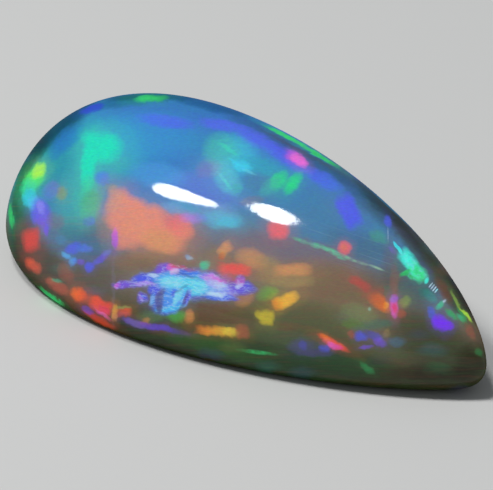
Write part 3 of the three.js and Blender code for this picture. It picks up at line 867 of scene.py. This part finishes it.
def flash_group(form):
    """A patch of colour: a soft-edged ellipsoid or block in the stone, painted over what lies under it."""
    tree = bpy.data.node_groups.new(form + " flash", "ShaderNodeTree")
    add_inputs(
        tree,
        {
            "Place": ("NodeSocketVector", None),
            "Under": ("NodeSocketColor", None),
            "Under Glow": ("NodeSocketFloat", 0.0),
            "Middle": ("NodeSocketVector", None),
            "Length Way": ("NodeSocketVector", (1, 0, 0)),
            "Width Way": ("NodeSocketVector", (0, 1, 0)),
            "Depth Way": ("NodeSocketVector", (0, 0, 1)),
            "Start Hue": ("NodeSocketColor", None),
            "End Hue": ("NodeSocketColor", None),
            "Core": ("NodeSocketFloat", 0.5),
            "Strength": ("NodeSocketFloat", 1.0),
            "Own Glow": ("NodeSocketFloat", 1.0),
            "Halo": ("NodeSocketFloat", 0.0),
        },
    )
    tree.interface.new_socket("Colour", in_out="OUTPUT", socket_type="NodeSocketColor")
    tree.interface.new_socket("Glow", in_out="OUTPUT", socket_type="NodeSocketFloat")
    t = Tree(tree)
    given = tree.nodes.new("NodeGroupInput").outputs
    away = t.vector("SUBTRACT", given["Place"], given["Middle"])
    along = t.dot(away, given["Length Way"])
    across = t.dot(away, given["Width Way"])
    deep = t.dot(away, given["Depth Way"])
    squares = [t.multiply(side, side) for side in (along, across, deep)]
    if form == "round":
        out = t.add(t.add(squares[0], squares[1]), squares[2])
    else:
        flat = t.maths("MULTIPLY_ADD", squares[0], squares[0], t.multiply(squares[1], squares[1]))
        out = t.maths("SQRT", t.maths("MULTIPLY_ADD", squares[2], squares[2], flat))
    core = t.spread(out, 1.0, given["Core"], 0.0, given["Strength"], smooth=True)
    halo = t.spread(out, HALO_REACH, 0.5, 0.0, given["Halo"], smooth=True)
    mask = t.maths("MAXIMUM", core, halo)
    share = t.maths("MULTIPLY_ADD", along, 0.5, 0.5)
    own = t.mix(share, given["Start Hue"], given["End Hue"])
    colour = t.mix(mask, given["Under"], own)
    glow_inputs = {0: mask, 2: given["Under Glow"], 3: given["Own Glow"]}
    glow = t.node("ShaderNodeMix", glow_inputs).outputs[0]
    t.node("NodeGroupOutput", {"Colour": colour, "Glow": glow})
    return tree


def photo_ray(eye, pixel):
    """Where the ray of one of the photograph's pixels starts, in millimetres, and its direction."""
    focal = PIXELS_PER_MM * DISTANCE
    across = (pixel[0] - PHOTO_SIZE[0] / 2) / focal
    up = (PHOTO_SIZE[1] / 2 - pixel[1]) / focal
    return eye.translation, (eye.to_3x3() @ Vector((across, up, -1))).normalized()


def on_stone(surface, eye, pixel):
    """The point of the stone that shows at a pixel of the photograph, or the nearest one, and its normal."""
    start, direction = photo_ray(eye, pixel)
    point, normal, _, _ = surface.ray_cast(start * MM, direction)
    if point is None:
        beside = start + direction * DISTANCE
        point, normal, _, _ = surface.find_nearest(beside * MM)
    return point / MM, normal


def slanted(right, up, degrees):
    """The ways right and up turned by a slant."""
    slant = math.radians(degrees)
    return math.cos(slant) * right + math.sin(slant) * up, math.cos(slant) * up - math.sin(slant) * right


def patch_axes(surface, eye, at):
    """The middle of a patch on the stone, and its ways to the right, up and out."""
    if len(at) == 2:
        middle, _ = on_stone(surface, eye, at)
        return middle, *eye.to_3x3().transposed()
    middle, out, _, _ = surface.find_nearest(Vector(at) * MM)
    right = Vector((0, 0, 1)).cross(out) if abs(out.z) < 0.99 else Vector((1, 0, 0))
    right.normalize()
    return middle / MM, right, out.cross(right), out


def paint(t, patches, groups, axes_of, place, colour, glow, halo=HALO, depth=FLASH_DEPTH):
    """Paints each patch over those before it."""
    for patch in patches:
        middle, right, up, out = axes_of(patch.at)
        length_way, width_way = slanted(right, up, patch.slant)

        # Sizes are given where a patch is at half its strength
        softness = patch.softness
        if softness > CRISP:
            softness = min(1, max(softness, EDGE_FADE / patch.width))
        core = (1 - softness) ** 2
        reach = math.sqrt((1 + core) / 2)
        half_length = patch.length / 2 / reach
        half_width = patch.width / 2 / reach
        inputs = {
            "Place": place,
            "Under": colour,
            "Under Glow": glow,
            "Middle": middle,
            "Length Way": length_way / half_length,
            "Width Way": width_way / half_width,
            "Depth Way": out / (depth / 2 + half_length),
            "Start Hue": patch.start,
            "End Hue": patch.end,
            "Core": core,
            "Strength": patch.strength,
            "Own Glow": patch.glow,
            "Halo": halo * patch.strength * patch.glow,
        }
        node = t.node("ShaderNodeGroup", inputs, node_tree=groups[patch.form], label=patch.name)
        colour, glow = node.outputs["Colour"], node.outputs["Glow"]
    return colour, glow


def drifted(t, place, scale, detail, extent):
    """The place shifted about by noise, so that edges wander."""
    noise = t.noise(place, scale, detail)["Color"]
    return t.vector("ADD", place, t.scale(t.vector("SUBTRACT", noise, (0.5, 0.5, 0.5)), extent))


def body_colour(t, place):
    """The haze of the body: blue in the dome, which stands partly for the haze lit from above, and grey to
    olive below, with painted shade darkening the foot.
    """
    x, y, z = t.node("ShaderNodeSeparateXYZ", {0: place}).outputs
    rise = t.spread(x, *RISING_STRETCH, *BLUE_STARTS, smooth=True)
    fall = t.spread(x, *FALLING_STRETCH, 0.0, TIP_FALL, smooth=True)
    noise = t.noise(place, CLOUDS_PER_MM, 3.0)["Fac"]
    clouds = t.spread(noise, 0.2, 0.8, -CLOUD_HEIGHT, CLOUD_HEIGHT, held=False)
    level = t.add(t.subtract(z, t.subtract(rise, fall)), clouds)
    low, high = BODY_HAZE[0][0], BODY_HAZE[-1][0]
    share = t.spread(level, low, high, held=False)
    stops = [((height - low) / (high - low), colour) for height, colour in BODY_HAZE]
    colour = t.ramp(share, stops)
    # Painted shade darkens the foot
    return t.mix(t.spread(z, *FOOT_SHADE_HEIGHTS, 0.0, FOOT_SHADE_SHARE, smooth=True), colour, FOOT_SHADE)


def drawn_out(t, place, way, aside, scales):
    """A place for noise whose grain runs along one way."""
    parts = {0: t.dot(place, way * scales[0]), 1: t.dot(place, aside * scales[1])}
    return t.node("ShaderNodeCombineXYZ", parts).outputs[0]


# How the edges of the flashes wander and how the ribbon is stirred: how fine per millimetre, in how much
# detail and how far in millimetres
WANDER = (2.2, 2.0, 0.2)
FINE_WANDER = (9.0, 2.0, 0.06)
RIBBON_STIR = (3.0, 1.0, 0.18)

# How fine each marking is along its own way and across it, per millimetre
STREAK_GRAIN = (2.2, 13)
BAND_GRAIN = (0.8, 9)
FAINT_FLASH_GRAIN = (0.8, 1.7)
FLAW_GRAIN = (4.5, 5)
HAIRLINE_GRAIN = (0.3, 22)
THREAD_GRAIN = (2.2, 9)
COLOUR_GRAIN = (9, 24)
SPECKS_PER_MM = 6.5
MOTTLES_PER_MM = 9.0
FLAW_SLANT = -21
THREAD_SLANT = -6

# Bands lie below the lower of these heights, and fade out up to the higher one
BAND_HEIGHTS = (4.3, 3.0)
FAINT_HUES = [(0.1, INDIGO), (0.35, SEA_HAZE), (0.5, FERN), (0.65, AMBER), (0.9, RED)]

# How strong each marking is
STREAKS = 0.12
RED_BANDS = 0.12
GREEN_BANDS = 0.16
FAINT_FLASHES = 0.18
LIGHT_SPECKS = 0.5
DARK_SPECKS = 0.3
LEFT_AT_BREAKS = 0.3
HAIRLINE_SHINE = 0.13
THREAD_SHINE = 0.32
BLUE_BETWEEN_THREADS = 0.5
GRAIN_CONTRAST = 0.4
GRAIN_DARKEST = 0.82
MOTTLE = 0.06

# How strong the halos about the finer flashes are
RIBBON_HALO = 0.03
TURQUOISE_HALO = 0.02

# The share of the colour that the light brings out, what a flash loses of it, and what it glows with instead
LIT_SHARE = 0.92
LIT_LOSS = 0.55
GLOW_SHARE = 0.61

# The polish over the body
BODY_ROUGHNESS = (0.25, 0.4)
POLISH_WEIGHTS = (0.65, 0.03)
POLISH_ROUGHNESS = (0.035, 0.08)
# for an export that can't follow the smudges
EVEN_ROUGHNESS = 0.055  # the coat's own even roughness, held on its socket under the link to the smudges
SMUDGES_PER_MM = 0.7
OPAL_IOR = 1.45
RIPPLES_PER_MM = 3.0
RIPPLE_DEPTH = 0.0022


def body_markings(t, place, calm, right, up, body, colour, glow):
    """Streaks in the flashes, and faint bands and patches of every hue between them."""
    streaks = t.noise(drawn_out(t, place, right, up, STREAK_GRAIN), 1.0, 2.0)["Fac"]
    colour = t.mix(t.spread(streaks, 0.3, 0.65, STREAKS, 0.0), colour, body)

    # Faint bands of green and red lie across the body, between the flashes
    bands = t.noise(drawn_out(t, place, right, up, BAND_GRAIN), 1.0, 5.0)["Fac"]
    height = t.node("ShaderNodeSeparateXYZ", {0: place}).outputs["Z"]
    between = t.spread(glow, 0.9, HAZE_GLOW, smooth=True)
    clear = t.multiply(between, t.spread(height, *BAND_HEIGHTS, smooth=True))
    colour = t.mix(t.multiply(clear, t.spread(bands, 0.5, 0.75, 0.0, RED_BANDS)), colour, BRICK)
    colour = t.mix(t.multiply(clear, t.spread(bands, 0.5, 0.25, 0.0, GREEN_BANDS)), colour, MOSS)

    # A cell of the noise is a faint flash, in a hue and of a strength of its own
    cells = {"Vector": drawn_out(t, calm, right, up, FAINT_FLASH_GRAIN), "Scale": 1.0}
    speckle = t.node("ShaderNodeTexVoronoi", cells).outputs
    sort = t.node("ShaderNodeSeparateColor", {0: speckle["Color"]}).outputs
    faint = t.ramp(sort[0], FAINT_HUES)
    chosen = t.spread(sort[1], 0.3, 1.0)
    share = t.multiply(chosen, t.spread(speckle["Distance"], 0.5, 0.1, smooth=True))
    return t.mix(t.multiply(t.multiply(clear, share), FAINT_FLASHES), colour, faint)


def turquoise_specks(t, place, turquoise, colour):
    """Specks of light and of dark teal in the turquoise flash."""
    specks = t.noise(place, SPECKS_PER_MM, 4.0)["Fac"]
    light = t.spread(specks, 0.5, 0.7, 0.0, LIGHT_SPECKS)
    colour = t.mix(t.multiply(turquoise, light), colour, AQUA_ICE)
    dark = t.spread(specks, 0.45, 0.3, 0.0, DARK_SPECKS)
    return t.mix(t.multiply(turquoise, dark), colour, DEEP_TEAL)


def ribbon_threads(t, calm, right, up, ribbon, colour):
    """Bright threads through the ribbon, and blue between them."""
    strand = t.noise(drawn_out(t, calm, *slanted(right, up, THREAD_SLANT), THREAD_GRAIN), 1.0, 4.0)["Fac"]
    strand = t.maths("ABSOLUTE", t.subtract(strand, 0.5))
    threads = t.multiply(t.spread(strand, 0.05, 0.0, smooth=True), ribbon)
    gaps = t.multiply(t.spread(strand, 0.1, 0.22, smooth=True), ribbon)
    colour = t.mix(t.multiply(threads, THREAD_SHINE), colour, ICE)
    return t.mix(t.multiply(gaps, BLUE_BETWEEN_THREADS), colour, BLUE)


def polish(t, shader, place):
    """A hard polish over a body that scatters a little."""
    smudges = t.noise(place, SMUDGES_PER_MM, 4.0)["Fac"]
    t.feed(shader.inputs["Roughness"], t.spread(smudges, 0.3, 0.7, *BODY_ROUGHNESS))
    facing = t.node("ShaderNodeLayerWeight", {"Blend": 0.5}).outputs["Facing"]
    t.feed(shader.inputs["Coat Weight"], t.spread(facing, 0.35, 0.7, *POLISH_WEIGHTS))
    t.feed(shader.inputs["Coat Roughness"], t.spread(smudges, 0.3, 0.7, *POLISH_ROUGHNESS))
    values = {
        "Specular IOR Level": 0.0,
        "IOR": OPAL_IOR,
        "Coat IOR": OPAL_IOR,
        "Coat Roughness": EVEN_ROUGHNESS,
        "Emission Strength": 1.0,
    }
    set_values(shader, values)
    ripples = t.noise(place, RIPPLES_PER_MM, 3.0)["Fac"]
    bump = {"Height": ripples, "Distance": RIPPLE_DEPTH * MM, "Strength": 1.0}
    t.feed(shader.inputs["Coat Normal"], t.node("ShaderNodeBump", bump).outputs[0])


def opal_material(surface, eye):
    material = bpy.data.materials.new("opal")
    material.use_nodes = True
    t = Tree(material.node_tree)
    shader = material.node_tree.nodes["Principled BSDF"]

    # The place in the stone in millimetres, calm for the haze and most flashes, and stirred for the ribbon
    origin = t.node("ShaderNodeTexCoord").outputs["Object"]
    place = t.node("ShaderNodeMapping", {"Vector": origin, "Scale": (1 / MM,) * 3}).outputs[0]
    calm = drifted(t, drifted(t, place, *WANDER), *FINE_WANDER)
    stirred = drifted(t, place, *RIBBON_STIR)

    groups = {form: flash_group(form) for form in ("round", "block")}
    right, up, _ = eye.to_3x3().transposed()

    def axes_of(at):
        return patch_axes(surface, eye, at)

    haze_colour = body_colour(t, place)
    body, glow = paint(t, BODY_PATCHES, groups, axes_of, calm, haze_colour, HAZE_GLOW, depth=HAZE_DEPTH)
    colour, glow = paint(t, PHOTO_FLASHES + HIDDEN_PATCHES, groups, axes_of, calm, body, glow)
    colour = body_markings(t, place, calm, right, up, body, colour, glow)
    ribbons = RIBBON + BACK_RIBBON
    colour, ribbon = paint(t, ribbons, groups, axes_of, stirred, colour, 0.0, halo=RIBBON_HALO)
    colour, turquoise = paint(
        t, TURQUOISE_FLASH, groups, axes_of, stirred, colour, 0.0, halo=TURQUOISE_HALO
    )
    colour = turquoise_specks(t, place, turquoise, colour)

    # The flaw's broken dashes, and pale hairlines beside them
    dashed, flaw = paint(t, FLAW, groups, axes_of, place, colour, 0.0, halo=0.0)
    breaks = t.noise(drawn_out(t, place, *slanted(right, up, FLAW_SLANT), FLAW_GRAIN), 1.0, 2.0)["Fac"]
    colour = t.mix(t.spread(breaks, 0.38, 0.6, LEFT_AT_BREAKS, 1.0), colour, dashed)
    way, aside = slanted(right, up, HAIRLINE_SLANT)
    lines = t.noise(drawn_out(t, place, way, aside, HAIRLINE_GRAIN), 1.0, 1.0)["Fac"]
    _, where = paint(t, [HAIRLINES], groups, axes_of, calm, colour, 0.0)
    colour = t.mix(t.multiply(where, t.spread(lines, 0.55, 0.72, 0.0, HAIRLINE_SHINE)), colour, ICE)
    colour = ribbon_threads(t, calm, right, up, ribbon, colour)
    colour, _ = paint(t, FOLDS, groups, axes_of, stirred, colour, 0.0, halo=0.0)

    # A fine grain of every hue runs along the stone, and every flash is a little mottled
    grain = t.noise(drawn_out(t, place, right, up, COLOUR_GRAIN), 1.0, 2.0)["Color"]
    contrast, darkest = (GRAIN_CONTRAST,) * 3, (GRAIN_DARKEST,) * 3
    colour = t.vector("MULTIPLY", colour, t.vector("MULTIPLY_ADD", grain, contrast, darkest))
    glow = t.maths("MAXIMUM", t.maths("MAXIMUM", glow, ribbon), t.maths("MAXIMUM", turquoise, flaw))
    mottles = t.noise(place, MOTTLES_PER_MM, 2.0)["Fac"]
    mottle = t.spread(mottles, 0.25, 0.75, 1 - MOTTLE, 1 + MOTTLE)
    lit = t.scale(colour, t.maths("MULTIPLY_ADD", glow, -LIT_LOSS, LIT_SHARE))
    # Painted light: the flashes, and the body a little, glow with their own colour, though the stone is no
    # lamp
    shine = t.scale(colour, t.multiply(t.multiply(glow, GLOW_SHARE), mottle))
    t.feed(shader.inputs["Base Color"], lit)
    t.feed(shader.inputs["Emission Color"], shine)
    polish(t, shader, place)
    return material


Lamp = namedtuple("Lamp", "name mirrored length width slant")

# The lamps, each with the photograph's pixel where the stone mirrors its middle, its size in millimetres and
# the slant of its length
LAMPS = [
    Lamp("left_lamp", (172.6, 192.4), 54, 40, 91),
    Lamp("left_lamp_tail", (198, 199.4), 36, 26, 90),
    Lamp("right_lamp", (274.4, 214.6), 60, 33, 144),
]
LAMP_DISTANCE = 250
LAMP_RADIANCE = 35
FLOOR_HALF = 0.6
PAPER = {"Base Color": (0.6, 0.6, 0.59, 1), "Roughness": 0.9, "Specular IOR Level": 0.1}
ROOM = {"Color": (0.9, 0.95, 1.0, 1), "Strength": 0.22}


def pale_floor():
    mesh = bpy.data.meshes.new("floor")
    half = FLOOR_HALF
    corners = [(-half, -half, 0), (half, -half, 0), (half, half, 0), (-half, half, 0)]
    mesh.from_pydata(corners, [], [(0, 1, 2, 3)])
    floor = bpy.data.objects.new("floor", mesh)
    bpy.context.scene.collection.objects.link(floor)
    paper = bpy.data.materials.new("pale floor")
    paper.use_nodes = True
    set_values(paper.node_tree.nodes["Principled BSDF"], PAPER)
    mesh.materials.append(paper)
    return floor


def studio(surface, eye):
    """Two soft lamps and a dim room."""
    for lamp in LAMPS:
        point, normal = on_stone(surface, eye, lamp.mirrored)
        _, ray = photo_ray(eye, lamp.mirrored)
        towards = ray.reflect(normal).normalized()
        sideways = Vector((0, 0, 1)).cross(towards).normalized()
        length_way, width_way = slanted(sideways, towards.cross(sideways), lamp.slant)
        turned = Matrix((length_way, width_way, towards)).transposed().to_4x4()
        light = bpy.data.lights.new(lamp.name, "AREA")
        light.shape = "ELLIPSE"
        light.size = lamp.length * MM
        light.size_y = lamp.width * MM
        light.energy = LAMP_RADIANCE * math.pi * light.size * light.size_y
        lit = bpy.data.objects.new(lamp.name, light)
        lit.matrix_world = Matrix.Translation((point + LAMP_DISTANCE * towards) * MM) @ turned
        bpy.context.scene.collection.objects.link(lit)
    world = bpy.data.worlds.new("studio")
    world.use_nodes = True
    set_values(world.node_tree.nodes["Background"], ROOM)
    bpy.context.scene.world = world


bpy.context.scene.view_settings.view_transform = "Standard"
eye = photo_camera()
stone = grown_mesh("opal_stone", cabochon_tree(), SIZES | COUNTS)
surface = BVHTree.FromObject(stone, bpy.context.evaluated_depsgraph_get())
stone.data.materials.clear()
stone.data.materials.append(opal_material(surface, eye))
pale_floor()
studio(surface, eye)
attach(stone, "root")
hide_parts("opal_cabochon")
